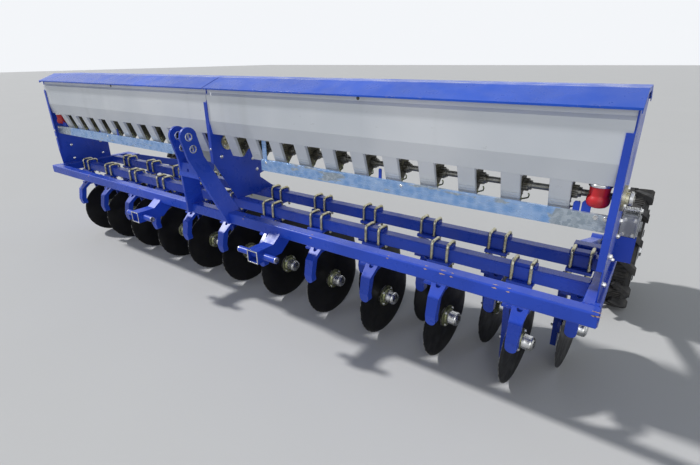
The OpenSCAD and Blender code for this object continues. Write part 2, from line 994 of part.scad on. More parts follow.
// Section of the tyre's body, from one bead over the tread to the other
function tyre_half(r, tread) = [[r, lug_out + 12], [r + 14, lug_out - 2], [r + 46, lug_out - 8],
  [tread - 16, lug_out], [tread - 4, lug_out + 10], [tread, lug_out + 26]];

module tyre(s)
{
  r = rim_d / 2;
  tread = wheel_d / 2 - lug_h;
  near = tyre_half(r, tread);
  far = [for (i = [len(near) - 1 : -1 : 0]) [near[i][0], wheel_w - near[i][1]]];
  color(black)
    on_axle(s)
    {
      rotate_extrude()
        polygon(concat(near, far));
      intersection()
      {
        for (side = [0, 1])
          for (i = [0 : lugs - 1])
            rotate([0, 0, (i + side / 2) * 360 / lugs])
              translate([tread - 20, 0, side * wheel_w])
                rotate([side * 180, 0, 0])
                  rotate([-38, 0, 0])
                    translate([0, -lug_w / 2, -20])
                      cube([lug_h + 24, lug_w, wheel_w * 0.62 + 20]);
        rotate_extrude()
          polygon([[tread - 20, lug_out / 2], [tread - 12, 0], [tread + lug_h - 8, 0],
            [tread + lug_h, 10], [tread + lug_h, wheel_w - 10], [tread + lug_h - 8, wheel_w],
            [tread - 12, wheel_w], [tread - 20, wheel_w - lug_out / 2]]);
      }
    }
}

front_beam();
end_beam(-1);  // end_beam_left
end_beam(1);  // end_beam_right
toolbar(toolbar_front_y);  // toolbar_front
toolbar(toolbar_rear_y);  // toolbar_rear
mast();
hitch_bracket(-1);  // hitch_left
hitch_bracket(1);  // hitch_right
end_plate(-1);  // end_plate_left
end_plate(1);  // end_plate_right
mid_plate();
box(-1);  // box_left
box(1);  // box_right
box_rail(-1);  // box_rail_left
box_rail(1);  // box_rail_right
lid(-1);  // lid_left
lid(1);  // lid_right
chutes(-1);  // chutes_left
chutes(1);  // chutes_right
meters(-1);  // meters_left
meters(1);  // meters_right
drive_box();
metering_shaft();
shaft_bearings();
tray(-1);  // tray_left
tray(1);  // tray_right
end_cups();
openers(front_x, toolbar_front_y);  // openers_front
openers(rear_x, toolbar_rear_y);  // openers_rear
ubolts(front_x, toolbar_front_y);  // ubolts_front
ubolts(rear_x, toolbar_rear_y);  // ubolts_rear
wheel_arm(-1);  // wheel_arm_left
wheel_arm(1);  // wheel_arm_right
rim(-1);  // rim_left
rim(1);  // rim_right
tyre(-1);  // tyre_left
tyre(1);  // tyre_right
for (i = [0 : half_rows - 1])
  disc(front_x[i], toolbar_front_y);
for (i = [0 : half_rows - 1])
  disc(rear_x[i], toolbar_rear_y);
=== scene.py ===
"""Looks of a mounted disc seed drill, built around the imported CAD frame."""
import json
import math

import bmesh
import bpy
from mathutils import Matrix, Vector


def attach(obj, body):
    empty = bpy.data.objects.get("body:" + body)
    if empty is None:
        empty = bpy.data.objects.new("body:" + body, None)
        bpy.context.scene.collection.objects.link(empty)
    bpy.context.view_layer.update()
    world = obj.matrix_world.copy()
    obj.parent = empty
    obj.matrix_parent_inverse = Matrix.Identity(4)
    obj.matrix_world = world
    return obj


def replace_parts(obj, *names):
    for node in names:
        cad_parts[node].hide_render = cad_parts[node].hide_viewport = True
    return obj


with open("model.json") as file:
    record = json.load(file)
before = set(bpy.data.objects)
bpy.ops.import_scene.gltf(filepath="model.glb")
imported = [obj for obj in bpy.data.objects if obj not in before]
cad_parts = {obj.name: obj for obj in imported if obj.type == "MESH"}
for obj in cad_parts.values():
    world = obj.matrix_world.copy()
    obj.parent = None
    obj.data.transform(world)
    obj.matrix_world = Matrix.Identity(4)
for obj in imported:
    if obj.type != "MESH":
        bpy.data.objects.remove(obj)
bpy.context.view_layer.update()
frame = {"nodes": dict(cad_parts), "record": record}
NODES = frame["nodes"]

# Places from the part's source, in millimetres; Y is measured back from the front beam's face
BEAM_Y = -670
SIDES = (-1, 1)
NAMED_SIDES = ((-1, "left"), (1, "right"))
TUBE, FRAME_TOP, FRAME_LOW, FRAME_HALF = 50, 530, 480, 1680
BAR_FRONT_Y, BAR_REAR_Y, ARM_Y = 180, 392, 502
ROWS, ROW_PITCH = 11, 150
FRONT_X = [(ROWS - 1.5 - 2 * i) * ROW_PITCH for i in range(ROWS)]
REAR_X = [(ROWS - 0.5 - 2 * i) * ROW_PITCH for i in range(ROWS)]
BARS = (("front", FRONT_X, BAR_FRONT_Y), ("rear", REAR_X, BAR_REAR_Y))
HITCH_X, HITCH_HALF = 438, 30
PIN_Y, PIN_Z, PIN_HALF = -110, 437, 110
MOUTH_Y, MOUTH_Z, MOUTH_TALL, MOUTH_WALL = -140, 409, 56, 5
# The mast's plates, and the slanted length of them that crosses the top of the front beam
MAST_TOP_X, MAST_HALF = 37, 6
MAST_FOOT_X, MAST_FOOT_HALF = 133, 7
LINK_HOLES = [(-85, 885), (-71.25, 830)]
PLATE_IN, PLATE_THICK, PLATE_WELD = 1662, 4, (70, 395)
LID_END = 1670
METER_FIRST, METER_PITCH = 113, 140
METERS = [side * (METER_FIRST + METER_PITCH * k) for side in SIDES for k in range(ROWS)]
SHAFT_Y, SHAFT_Z, BEARING_BOLTS = 153, 826, 29
HOUSING_SIDE = 25
# A chute's front leans back by the first value over the height of the second, down from the box
BOX_FLOOR, CHUTE_Y, CHUTE_LEAN = 873, 78, (34, 98)
TRAY_Y, TRAY_TOP = 84, 787
UBOLT_X, UBOLT_Y = (-31, 31), (-7, TUBE + 7)
SADDLE_LOW, CROSS_PLATE_Z = FRAME_LOW - 12, 394
LEG_SIDES = (-42, -30)
DISC_BACK, DISC_Z, TOE = 105, 180, math.radians(5)
SPRING_Y, SPRING_Z = 453, 709
WHEEL_X, WHEEL_Y, WHEEL_Z, WHEEL_W = 1675, 1180, 300, 150
HUB_FACE, TREAD_RIBS = 94, 112


def at(x, y, z):
    """A place in millimetres, with Y back from the front beam, as a point in the frame."""
    return Vector((x / 1000, (y + BEAM_Y) / 1000, z / 1000))


# ---------------------------------------------------------------- materials
# Socket numbers of a Mix node that mixes colours
MIX_SHARE, MIX_A, MIX_B, MIX_RESULT = 0, 6, 7, 2


class Look:
    """A node material that is put together step by step."""

    def __init__(self, name, **sockets):
        self.mat = bpy.data.materials.new(name)
        self.mat.use_nodes = True
        self.tree = self.mat.node_tree
        self.shader = self.tree.nodes["Principled BSDF"]
        for key, value in sockets.items():
            self.shader.inputs[key.replace("_", " ")].default_value = value
        self.place = self.node("ShaderNodeTexCoord").outputs["Object"]

    def node(self, kind, inputs=None, **props):
        """Adds a node; an input is a value or another node's socket."""
        made = self.tree.nodes.new(kind)
        for key, value in props.items():
            setattr(made, key, value)
        for key, value in (inputs or {}).items():
            if isinstance(value, bpy.types.NodeSocket):
                self.tree.links.new(value, made.inputs[key])
            else:
                made.inputs[key].default_value = value
        return made

    def stretched(self, x, y, z):
        """The piece's own coordinates, scaled along each axis."""
        return self.node("ShaderNodeMapping", {"Vector": self.place, "Scale": (x, y, z)}).outputs[0]

    def noise(self, scale, detail=4.0, rough=0.55, vector=None):
        """Noise of a scale per metre, around one half."""
        return self.node("ShaderNodeTexNoise", {"Vector": vector or self.place, "Scale": scale,
                                                "Detail": detail, "Roughness": rough}).outputs["Fac"]

    def span(self, value, low, high, to_low=0.0, to_high=1.0):
        """Maps low to high smoothly onto another range, and holds it outside."""
        made = self.node("ShaderNodeMapRange", {"Value": value, "From Min": low, "From Max": high,
                                                "To Min": to_low, "To Max": to_high})
        made.interpolation_type = "SMOOTHSTEP"
        return made.outputs[0]

    def maths(self, kind, a, b):
        return self.node("ShaderNodeMath", {0: a, 1: b}, operation=kind).outputs[0]

    def mix(self, share, a, b):
        """Colour a where share is 0 and b where it is 1."""
        made = self.node("ShaderNodeMix", data_type="RGBA")
        for i, value in ((MIX_SHARE, share), (MIX_A, a), (MIX_B, b)):
            if isinstance(value, bpy.types.NodeSocket):
                self.tree.links.new(value, made.inputs[i])
            else:
                made.inputs[i].default_value = value if i == MIX_SHARE else (*value, 1.0)
        return made.outputs[MIX_RESULT]

    def upward(self):
        """High where the surface faces up."""
        geometry = self.node("ShaderNodeNewGeometry")
        parts = self.node("ShaderNodeSeparateXYZ", {0: geometry.outputs["Normal"]})
        return self.span(parts.outputs["Z"], 0.55, 0.95)

    def edges(self, radius, low=0.01, high=0.12):
        """High along the outer and inner edges of the shape."""
        soft = self.node("ShaderNodeBevel", {"Radius": radius}, samples=4).outputs[0]
        true = self.node("ShaderNodeNewGeometry").outputs["Normal"]
        same = self.node("ShaderNodeVectorMath", {0: soft, 1: true}, operation="DOT_PRODUCT")
        return self.span(self.maths("SUBTRACT", 1.0, same.outputs["Value"]), low, high)

    def relief(self, height, strength, distance, rounded):
        """A small bump over edges that are rounded by a radius in metres."""
        soft = self.node("ShaderNodeBevel", {"Radius": rounded}, samples=4).outputs[0]
        made = self.node("ShaderNodeBump", {"Height": height, "Strength": strength, "Distance": distance,
                                            "Normal": soft})
        self.set("Normal", made.outputs[0])

    def colour(self, value):
        self.set("Base Color", value)

    def set(self, socket, value):
        self.tree.links.new(value, self.shader.inputs[socket])


def times(colour, factor):
    """A colour made darker or lighter."""
    return tuple(min(1.0, c * factor) for c in colour)


def paint(name, colour, dust, chips, primer, rough=0.3):
    """Gloss paint with a slightly uneven tone, dust and a painted pale top light on what faces up, and
    chipped edges.
    """
    k = Look(name, Specular_IOR_Level=0.34)
    tone = k.mix(k.span(k.noise(2.6), 0.35, 0.65), times(colour, 0.86), times(colour, 1.1))
    tone = k.mix(k.span(k.noise(38.0, 6.0), 0.55, 0.8, 0.0, 0.35), tone, times(colour, 0.72))
    # Faces that point up are mixed towards a pale grey-blue: partly dust, partly painted light on the tops
    film = k.maths("MULTIPLY", k.upward(), k.span(k.noise(11.0, 7.0, 0.65), 0.4, 0.72, 0.25 * dust, dust))
    tone = k.mix(film, tone, (0.34, 0.38, 0.52))
    worn = k.maths("MULTIPLY", k.edges(0.003), k.span(k.noise(46.0, 7.0, 0.7), 0.60, 0.635, 0.0, chips))
    tone = k.mix(worn, tone, primer)
    k.colour(tone)
    smear = k.span(k.noise(14.0, 5.0), 0.3, 0.75, rough - 0.07, rough + 0.16)
    k.set("Roughness", k.maths("ADD", smear, k.maths("MULTIPLY", worn, 0.35)))
    k.relief(k.noise(420.0, 2.0), 0.08, 0.0006, rounded=0.0016)
    return k.mat


def sheet_white(name):
    """White powder coat on folded sheet: faint runs down it, dust and a few scuffs."""
    k = Look(name)
    tone = k.mix(k.span(k.noise(1.7, 3.0), 0.35, 0.65), (0.60, 0.63, 0.67), (0.71, 0.73, 0.76))
    runs = k.span(k.noise(9.0, 5.0, 0.6, k.stretched(1.0, 1.0, 0.06)), 0.52, 0.78, 0.0, 0.35)
    tone = k.mix(runs, tone, (0.50, 0.52, 0.53))
    scuffs = k.span(k.noise(70.0, 8.0, 0.7, k.stretched(0.25, 1.0, 1.0)), 0.66, 0.70, 0.0, 0.5)
    tone = k.mix(scuffs, tone, (0.36, 0.37, 0.38))
    k.colour(tone)
    k.set("Roughness", k.span(k.noise(20.0, 5.0), 0.3, 0.7, 0.28, 0.44))
    k.relief(k.noise(3.2, 2.0), 0.25, 0.012, rounded=0.0015)
    return k.mat


def plated(name, colour, rough=0.34, stain=(0.40, 0.36, 0.20)):
    """Bright plated steel with a mottled passivation tint."""
    k = Look(name, Metallic=0.92)
    tone = k.mix(k.span(k.noise(55.0, 5.0), 0.35, 0.68), colour, stain)
    tone = k.mix(k.span(k.noise(210.0, 4.0), 0.55, 0.75, 0.0, 0.5), tone, times(colour, 0.55))
    k.colour(tone)
    k.set("Roughness", k.span(k.noise(90.0, 5.0), 0.3, 0.75, rough - 0.1, rough + 0.18))
    k.relief(k.noise(160.0, 3.0), 0.12, 0.0008, rounded=0.001)
    return k.mat


# Where the film on the trays ends, in metres from the machine's middle
FILM_END = (1.488, 1.496)


def filmed(name):
    """Galvanised sheet under a creased pale blue film, torn in places, that leaves its outer end bare."""
    k = Look(name, Metallic=0.35)
    cells = k.node("ShaderNodeTexVoronoi", {"Vector": k.place, "Scale": 34.0}).outputs["Distance"]
    tone = k.mix(k.span(cells, 0.1, 0.8), (0.20, 0.37, 0.68), (0.34, 0.50, 0.78))
    torn = k.span(k.noise(5.0, 6.0, 0.6, k.stretched(1.0, 2.0, 4.0)), 0.60, 0.64)
    across = k.node("ShaderNodeSeparateXYZ", {0: k.place}).outputs["X"]
    ragged = k.maths("ADD", k.maths("ABSOLUTE", across, 0.0), k.span(k.noise(9.0), 0.3, 0.7, -0.04, 0.04))
    bare = k.maths("MAXIMUM", torn, k.span(ragged, *FILM_END))
    spangle = k.node("ShaderNodeTexVoronoi", {"Vector": k.place, "Scale": 90.0}).outputs["Color"]
    tone = k.mix(bare, tone, k.mix(k.span(spangle, 0.2, 0.8), (0.30, 0.36, 0.42), (0.44, 0.50, 0.56)))
    crease = k.noise(30.0, 6.0, 0.7, k.stretched(0.6, 1.0, 2.2))
    tone = k.mix(k.span(crease, 0.62, 0.72, 0.0, 0.7), tone, (0.80, 0.88, 0.95))
    k.colour(tone)
    k.set("Roughness", k.span(crease, 0.3, 0.7, 0.2, 0.42))
    k.relief(crease, 0.5, 0.003, rounded=0.001)
    return k.mat


def disc_black(name):
    """Black painted disc with dust and a worn bright rim."""
    k = Look(name, Specular_IOR_Level=0.3)
    tone = k.mix(k.span(k.noise(7.0, 5.0), 0.4, 0.75), (0.004, 0.004, 0.005), (0.011, 0.011, 0.011))
    dust = k.span(k.noise(24.0, 7.0, 0.7), 0.52, 0.78, 0.0, 0.3)
    tone = k.mix(dust, tone, (0.040, 0.036, 0.030))
    worn = k.maths("MULTIPLY", k.edges(0.004, 0.004, 0.06), k.span(k.noise(60.0, 5.0), 0.42, 0.6))
    tone = k.mix(worn, tone, (0.42, 0.41, 0.39))
    k.colour(tone)
    k.set("Roughness", k.span(k.noise(18.0, 6.0), 0.3, 0.7, 0.38, 0.6))
    k.relief(k.noise(120.0, 4.0), 0.1, 0.0006, rounded=0.001)
    return k.mat


def rubber(name):
    """Dusty black tyre rubber."""
    k = Look(name)
    dust = k.span(k.noise(16.0, 7.0, 0.68), 0.42, 0.74, 0.0, 0.6)
    k.colour(k.mix(dust, (0.018, 0.018, 0.019), (0.11, 0.10, 0.085)))
    k.set("Roughness", k.span(k.noise(30.0, 4.0), 0.3, 0.7, 0.6, 0.86))
    k.relief(k.noise(300.0, 4.0), 0.3, 0.001, rounded=0.002)
    return k.mat


def moulded(name, colour, rough=0.3):
    """Moulded plastic with a fine grain and rubbed places."""
    k = Look(name)
    tone = k.mix(k.span(k.noise(9.0, 4.0), 0.35, 0.7), times(colour, 0.8), times(colour, 1.15))
    rubbed = k.maths("MULTIPLY", k.edges(0.003), k.span(k.noise(70.0, 6.0), 0.5, 0.65, 0.0, 0.4))
    k.colour(k.mix(rubbed, tone, times(colour, 2.2)))
    k.set("Roughness", k.span(k.noise(40.0, 5.0), 0.3, 0.7, rough - 0.06, rough + 0.14))
    k.relief(k.noise(520.0, 2.0), 0.12, 0.0005, rounded=0.0012)
    return k.mat


def cast(name, colour, dark):
    """Rough casting with a tinted passivation coat."""
    k = Look(name, Metallic=0.45)
    tone = k.mix(k.span(k.noise(30.0, 6.0), 0.38, 0.66), dark, colour)
    tone = k.mix(k.edges(0.002, 0.01, 0.2), tone, times(colour, 1.6))
    k.colour(tone)
    k.set("Roughness", k.span(k.noise(60.0, 5.0), 0.3, 0.7, 0.42, 0.66))
    k.relief(k.noise(260.0, 5.0), 0.5, 0.001, rounded=0.0012)
    return k.mat


LOOKS = {
    "blue_paint": paint("blue_paint", (0.020, 0.072, 0.540), 0.07, 1.0, (0.55, 0.40, 0.30)),
    "lid_paint": paint("lid_paint", (0.010, 0.092, 0.600), 0.04, 0.8, (0.55, 0.50, 0.48)),
    "white_paint": sheet_white("white_paint"),
    "zinc": plated("zinc", (0.60, 0.58, 0.44)),
    "bright_zinc": plated("bright_zinc", (0.72, 0.73, 0.74), 0.24, (0.52, 0.52, 0.50)),
    "green_zinc": plated("green_zinc", (0.36, 0.37, 0.22), 0.38, (0.20, 0.22, 0.11)),
    "galvanised": filmed("galvanised"),
    "disc_steel": disc_black("disc_steel"),
    "rim_paint": paint("rim_paint", (0.62, 0.64, 0.66), 0.3, 0.8, (0.24, 0.15, 0.10), 0.34),
    "tyre": rubber("tyre"),
    "red_plastic": moulded("red_plastic", (0.50, 0.012, 0.018)),
    "meter_cast": cast("meter_cast", (0.15, 0.14, 0.09), (0.045, 0.043, 0.03)),
    "shaft_steel": plated("shaft_steel", (0.30, 0.30, 0.28), 0.4, (0.14, 0.13, 0.10)),
    "bare_primer": moulded("bare_primer", (0.62, 0.42, 0.26), 0.7),
    "drive_cast": cast("drive_cast", (0.46, 0.47, 0.48), (0.26, 0.27, 0.28)),
}
# The record's slot of each look that isn't a slot itself
for row in frame["record"]["subparts"]:
    node = NODES[row["node"]]
    look = "lid_paint" if row["node"].startswith("lid_") else row["material_slot"]
    look = "shaft_steel" if row["node"] == "metering_shaft" else look
    node.data.materials.clear()
    node.data.materials.append(LOOKS[look])


# ---------------------------------------------------------------- mesh helpers
def ring(bm, place, radius, height, count, phase=0.0):
    """Vertices round the Z axis of place; radius and height are in metres."""
    return [bm.verts.new(place @ Vector((radius * math.cos(phase + 2 * math.pi * i / count),
                                         radius * math.sin(phase + 2 * math.pi * i / count), height)))
            for i in range(count)]


def lathe(bm, place, profile, count=24, look=0, phase=0.0):
    """Turns a profile of (radius, height) in millimetres round the Z axis of place."""
    rings = []
    for radius, height in profile:
        if radius == 0:
            rings.append([bm.verts.new(place @ Vector((0, 0, height / 1000)))])
        else:
            rings.append(ring(bm, place, radius / 1000, height / 1000, count, phase))
    for low, high in zip(rings, rings[1:]):
        for i in range(count):
            j = (i + 1) % count
            if len(low) == 1:
                face = (low[0], high[j], high[i])
            elif len(high) == 1:
                face = (low[i], low[j], high[0])
            else:
                face = (low[i], low[j], high[j], high[i])
            bm.faces.new(face).material_index = look


def skin(bm, rings):
    """Joins rings of one count in turn and closes both ends."""
    for low, high in zip(rings, rings[1:]):
        for i in range(len(low)):
            j = (i + 1) % len(low)
            bm.faces.new((low[i], low[j], high[j], high[i]))
    bm.faces.new(list(reversed(rings[0])))
    bm.faces.new(rings[-1])


def turned(point, direction):
    """Axes at a point with Z along a direction."""
    return Matrix.Translation(point) @ Vector(direction).to_track_quat("Z", "Y").to_matrix().to_4x4()


def block(bm, place, low, high):
    """A box between two corners given in millimetres in the axes of place."""
    corners = [bm.verts.new(place @ (Vector((x, y, z)) / 1000))
               for x in (low[0], high[0]) for y in (low[1], high[1]) for z in (low[2], high[2])]
    for face in ((0, 1, 3, 2), (4, 6, 7, 5), (0, 4, 5, 1), (2, 3, 7, 6), (0, 2, 6, 4), (1, 5, 7, 3)):
        bm.faces.new([corners[i] for i in face])


def rod(bm, points, radius, count=8):
    """A round rod of a radius in millimetres along points in the frame."""
    rings = []
    for i, point in enumerate(points):
        before, after = points[max(i - 1, 0)], points[min(i + 1, len(points) - 1)]
        rings.append(ring(bm, turned(point, after - before), radius / 1000, 0, count))
    skin(bm, rings)


def hex_bolt(bm, place, across, look=0, washer=True, thread=0.0):
    """A washer, a chamfered hexagon and, if asked for, a thread end, standing on place."""
    base = 0.0
    if washer:
        lathe(bm, place, [(0, -0.4), (across * 0.72, -0.4), (across * 0.72, 1.6), (0, 1.6)], 20, look)
        base = 1.6
    r = across / math.sqrt(3)
    tall = across * 0.55
    lathe(bm, place, [(0, base - 0.2), (r, base - 0.2), (r, base + tall * 0.8), (r * 0.86, base + tall),
                      (0, base + tall)], 6, look)
    if thread:
        lathe(bm, place, [(0, base), (across * 0.31, base), (across * 0.31, base + tall + thread - 1),
                          (across * 0.24, base + tall + thread), (0, base + tall + thread)], 12, look)


def weld(bm, a, b, size=3.2):
    """A slightly uneven fillet bead from a to b in the frame."""
    steps = max(3, int((b - a).length / 0.006))
    rings = []
    for i in range(steps + 1):
        radius = size * (0.8 + 0.2 * math.sin(2.1 * i)) / 1000
        rings.append(ring(bm, turned(a.lerp(b, i / steps), b - a), radius, 0, 6))
    skin(bm, rings)


def piece(name, body, looks, build, smooth=35.0):
    """Makes a piece from what build draws, gives it its looks and lets it ride on a body."""
    bm = bmesh.new()
    build(bm)
    bmesh.ops.recalc_face_normals(bm, faces=bm.faces)
    for face in bm.faces:
        face.smooth = True
    mesh = bpy.data.meshes.new(name)
    bm.to_mesh(mesh)
    bm.free()
    mesh.set_sharp_from_angle(angle=math.radians(smooth))
    for look in looks:
        mesh.materials.append(LOOKS[look])
    made = bpy.data.objects.new(name, mesh)
    bpy.context.scene.collection.objects.link(made)
    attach(made, body)
    return made


# ---------------------------------------------------------------- discs and their hubs
def hub(x, bar_y):
    """A domed dust cap on a bolted flange, on the open side of a disc."""
    axes = (Matrix.Translation(at(x, bar_y + DISC_BACK, DISC_Z)) @ Matrix.Rotation(-TOE, 4, "Z")
            @ Matrix.Rotation(math.pi / 2, 4, "Y"))

    def build(bm):
        lathe(bm, axes, [(47, 8.2), (47, 12), (44, 14), (34, 15), (31, 20), (27.3, 22)], 36, 1)
        lathe(bm, axes, [(27.3, 22), (29.5, 22), (29.5, 31), (28.6, 33), (28.6, 50), (27.5, 56), (24, 60.5),
                         (17, 63.5), (8, 65), (0, 65.3)], 36)
        for i in range(4):
            turn = Matrix.Rotation(math.radians(45 + 90 * i), 4, "Z")
            spot = axes @ turn @ Matrix.Translation(Vector((0.0395, 0, 0.0135)))
            hex_bolt(bm, spot, 10, washer=False, thread=2.0)
    return build


for row, xs, bar in BARS:
    for i, x in enumerate(xs):
        name = f"{row}_{i + 1}"
        piece("hub_" + name, "disc_" + name, ["bright_zinc", "green_zinc"], hub(x, bar))


# ---------------------------------------------------------------- frame, hitch and mast
def dome_bolt(bm, place, radius):
    """The low round head of a carriage bolt, standing on place."""
    lathe(bm, place, [(0, -0.4), (radius, -0.4), (radius, 0.8), (radius * 0.86, radius * 0.28),
                      (radius * 0.5, radius * 0.44), (0, radius * 0.5)], 16)


def frame_welds(bm):
    """Beads of the frame, hitch, mast and end plates, and the front beam's welded end caps."""
    inner, outer = FRAME_HALF - TUBE, FRAME_HALF - 5
    for s in SIDES:
        for y in (TUBE, ARM_Y):
            weld(bm, at(s * inner, y, FRAME_TOP - 1), at(s * outer, y, FRAME_TOP - 1))
            weld(bm, at(s * inner, y, FRAME_LOW + 3), at(s * inner, y, FRAME_TOP - 2))
            weld(bm, at(s * inner, y, FRAME_LOW + 1), at(s * outer, y, FRAME_LOW + 1))
        for bar in (BAR_FRONT_Y, BAR_REAR_Y):
            for y in (bar, bar + TUBE):
                weld(bm, at(s * inner, y, FRAME_LOW + 4), at(s * inner, y, FRAME_TOP - 4))
            for z in (FRAME_LOW, FRAME_TOP):
                weld(bm, at(s * inner, bar + 5, z), at(s * inner, bar + TUBE - 5, z))
        left, right, flank = s * HITCH_X - HITCH_HALF, s * HITCH_X + HITCH_HALF, FRAME_LOW + 18
        for x in (left, right):
            weld(bm, at(x, 0, FRAME_LOW + 4), at(x, 0, flank))
            weld(bm, at(x, 5, FRAME_LOW), at(x, TUBE - 5, FRAME_LOW))
        weld(bm, at(left, 0, flank), at(right, 0, flank))
        for x in (MAST_FOOT_X - MAST_FOOT_HALF, MAST_FOOT_X + MAST_FOOT_HALF):
            weld(bm, at(s * x, 5, FRAME_TOP), at(s * x, TUBE - 5, FRAME_TOP))
        for x in (PLATE_IN, PLATE_IN + PLATE_THICK):
            weld(bm, at(s * x, PLATE_WELD[0], FRAME_TOP), at(s * x, PLATE_WELD[1], FRAME_TOP), 2.6)
        cap = turned(at(s * FRAME_HALF, TUBE / 2, FRAME_LOW + TUBE / 2), (s, 0, 0))
        lathe(bm, cap, [(0, -1), (28, -1), (28, 2), (26, 3.4), (0, 3.4)], 4, phase=math.pi / 4)
        corners = [at(s * (FRAME_HALF + 0.5), TUBE / 2 + a * 20, FRAME_LOW + TUBE / 2 + b * 20)
                   for a, b in ((-1, -1), (-1, 1), (1, 1), (1, -1), (-1, -1))]
        for a, b in zip(corners, corners[1:]):
            weld(bm, a, b, 2.4)


def link_bushes(bm):
    """Raised rims round the upper link's holes, on both faces of the mast's plates."""
    for s in SIDES:
        for y, z in LINK_HOLES:
            for way in SIDES:
                place = turned(at(s * MAST_TOP_X + way * MAST_HALF, y, z), (way, 0, 0))
                lathe(bm, place, [(12.9, -0.5), (18.5, -0.5), (18.5, 1.2), (17.6, 2), (14, 2),
                                  (12.9, 1.2)], 32)


def pin_faces(bm):
    """Bare faces of the lower hitch pins, and the bare edge of each bracket's mouth."""
    inner, outer, roof = HITCH_HALF - MOUTH_WALL, HITCH_HALF, MOUTH_TALL - MOUTH_WALL
    for s in SIDES:
        for end in SIDES:
            place = turned(at(s * HITCH_X + end * PIN_HALF, PIN_Y, PIN_Z), (end, 0, 0))
            lathe(bm, place, [(14.1, -3), (14.1, -1.4), (12.6, 0.5), (0, 0.5)], 32)
        mouth = Matrix.Translation(at(s * HITCH_X, MOUTH_Y, MOUTH_Z))
        for low, high in (((-outer, 0), (-inner, MOUTH_TALL)), ((inner, 0), (outer, MOUTH_TALL)),
                          ((-inner, 0), (inner, MOUTH_WALL)), ((-inner, roof), (inner, MOUTH_TALL))):
            block(bm, mouth, (low[0], -0.6, low[1]), (high[0], 0.5, high[1]))


def paint_chips(bm):
    """Chips along the front beam's upper edge: one on top and one on the face at each place."""
    for i, (x, length) in enumerate(((1000, 7), (1150, 9), (1210, 16), (1245, 8), (1390, 12), (1432, 9),
                                     (1676, 18), (1668, 10), (-620, 8), (-1180, 10), (240, 7), (640, 9))):
        ragged = [(math.cos(a) * length * (0.6 + 0.4 * math.sin(3 * a + i)),
                   math.sin(a) * 3.2 * (0.7 + 0.3 * math.cos(5 * a + i)))
                  for a in (2 * math.pi * j / 11 for j in range(11))]
        top, face = 9.6 + i % 3, FRAME_TOP - 6 - i % 4
        bm.faces.new([bm.verts.new(at(x + u, top + v, FRAME_TOP + 0.25)) for u, v in ragged])
        bm.faces.new([bm.verts.new(at(x + u, -0.25, face + v)) for u, v in ragged])


piece("frame_welds", "machine", ["blue_paint"], frame_welds, 60)
piece("link_bushes", "machine", ["bright_zinc"], link_bushes)
piece("pin_faces", "machine", ["bright_zinc"], pin_faces)
piece("paint_chips", "machine", ["bare_primer"], paint_chips)


# ---------------------------------------------------------------- plates and seed boxes
def plate_bolts(bm):
    """Bolts through the end plates and the middle plate, in their front flanges and in the bearings."""
    for s in SIDES:
        for y, z in ((145, 555), (145, 648), (347, 559), (347, 644), (331, 702)):
            dome_bolt(bm, turned(at(s * PLATE_IN, y, z), (-s, 0, 0)), 9)
            hex_bolt(bm, turned(at(s * (PLATE_IN + PLATE_THICK), y, z), (s, 0, 0)), 13, thread=2)
        for angle in (90, 210, 330):
            y = SHAFT_Y + BEARING_BOLTS * math.cos(math.radians(angle))
            z = SHAFT_Z + BEARING_BOLTS * math.sin(math.radians(angle))
            hex_bolt(bm, turned(at(s * (PLATE_IN + 12), y, z), (s, 0, 0)), 10, washer=False)
            if s > 0:
                hex_bolt(bm, turned(at(10, y, z), (1, 0, 0)), 10, washer=False)
    for z in (713, 760):
        dome_bolt(bm, turned(at(8 - PLATE_IN, 60, z), (0, -1, 0)), 7)
    for y, z in ((305, 716), (330, 655), (372, 655), (110, 760)):
        dome_bolt(bm, turned(at(2, y, z), (1, 0, 0)), 9)
        hex_bolt(bm, turned(at(-2, y, z), (-1, 0, 0)), 13, thread=3)
    dome_bolt(bm, turned(at(-8, 60, 803), (0, -1, 0)), 6)


def box_screws(bm):
    """One screw high in the middle of each box's front."""
    for s in SIDES:
        dome_bolt(bm, turned(at(s * 825, 72, 1067), (0, -1, 0)), 6.5)


def end_cups(bm):
    """Red cups with a rolled metal rim on top and a bulged lower part that rounds in."""
    for s in SIDES:
        place = turned(at(s * (PLATE_IN - 50), 104, 0), (0, 0, 1))
        lathe(bm, place, [(0, 804), (17, 804), (23, 806.5), (28, 812), (30.4, 819), (30.6, 826), (29, 832),
                          (26, 836), (25, 839), (25.6, 842), (27.6, 866)], 48)
        lathe(bm, place, [(27.4, 864), (30, 864), (31, 865.5), (31, 871), (30, 872.6), (0, 872.6)], 48, 1)


piece("plate_bolts", "machine", ["bright_zinc"], plate_bolts)
piece("box_screws", "machine", ["meter_cast"], box_screws)
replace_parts(piece("end_cups_shaped", "machine", ["red_plastic", "bright_zinc"], end_cups, 30), "end_cups")


def lid_hem(side):
    """Turned down outer end of a lid."""
    top = [(48.2, 1079.5), (150, 1119), (310, 1119), (411.8, 1079.5)]

    def build(bm):
        inner, outer = side * (LID_END - 0.5), side * (LID_END + 1.8)
        rows = [[bm.verts.new(at(x, y, z - drop)) for y, z in top]
                for x, drop in ((inner, 1.5), (outer, 0.3), (outer, 13), (inner, 13))]
        for a, b in zip(rows, rows[1:] + rows[:1]):
            for k in range(len(top) - 1):
                bm.faces.new((a[k], a[k + 1], b[k + 1], b[k]))
        for k in (0, -1):
            bm.faces.new([row[k] for row in rows])
    return build


for side, word in NAMED_SIDES:
    piece("lid_hem_" + word, "lid_" + word, ["lid_paint"], lid_hem(side))


